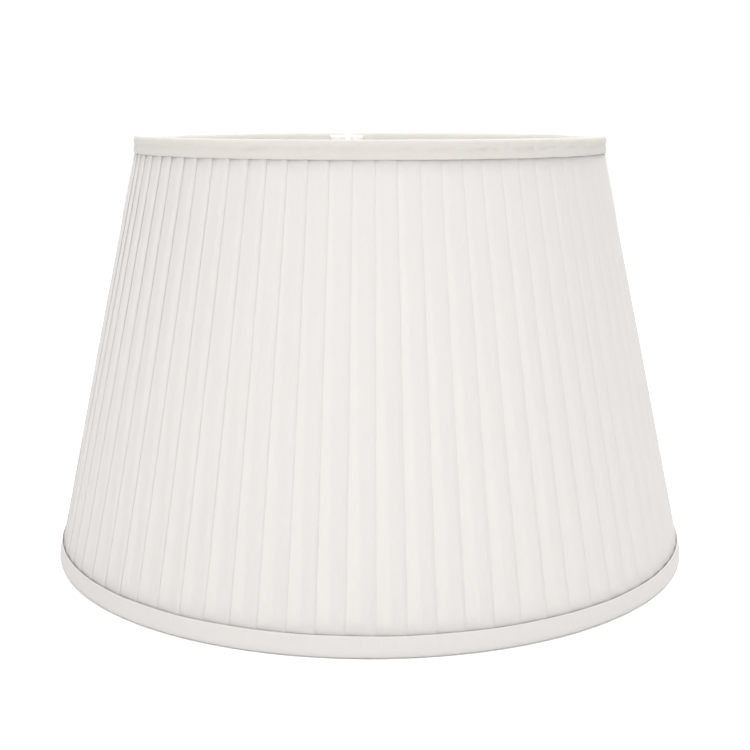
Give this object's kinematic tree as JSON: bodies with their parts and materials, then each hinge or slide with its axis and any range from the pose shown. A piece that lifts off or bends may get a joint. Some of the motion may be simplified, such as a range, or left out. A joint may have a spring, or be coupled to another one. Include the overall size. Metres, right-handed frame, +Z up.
{
  "type": "lamp shade",
  "caption": "Tapered round lamp shade in white knife-pleated cloth with rolled cloth bindings, a cloth lining over a wire frame, and a dropped fitter with a lift-out reducer ring.",
  "frame": {"origin": "centre of the plane the shade stands on, on its axis", "axes": "+Z up along the shade's axis; -Y is the front; the arm at the rear lies 7 degrees towards -X from +Y"},
  "size_m": [0.3999, 0.4, 0.261],
  "materials": {
    "cover_cloth": "plain woven white cotton, matt, slightly translucent",
    "binding_cloth": "plain woven white cotton cut on the bias, matt",
    "lining_cloth": "smooth fine white lining cloth, faint sheen",
    "frame_wire": "white powder coat, satin",
    "fitter_metal": "white powder coat, satin",
    "reducer_plastic": "moulded white plastic, satin"
  },
  "bodies": {
    "shade": {"bottom_ring": "frame_wire", "top_ring": "frame_wire", "strut_1": "frame_wire", "strut_2": "frame_wire", "strut_3": "frame_wire", "strut_4": "frame_wire", "strut_5": "frame_wire", "strut_6": "frame_wire", "strut_7": "frame_wire", "strut_8": "frame_wire", "spider_arm_1": "frame_wire", "spider_arm_2": "frame_wire", "spider_arm_3": "frame_wire", "fitter_ring": "fitter_metal", "lining": "lining_cloth", "pleated_cover": "cover_cloth", "top_binding": "binding_cloth", "bottom_binding": "binding_cloth", "neatener_1": "lining_cloth", "neatener_2": "lining_cloth", "neatener_3": "lining_cloth"},
    "reducer": {"reducer_ring": "reducer_plastic"}
  },
  "joints": [
    {"name": "reducer_lift", "type": "slide", "parent": "shade", "child": "reducer", "axis": [0, 0, 1], "range_m": [0, 0.08]}
  ]
}
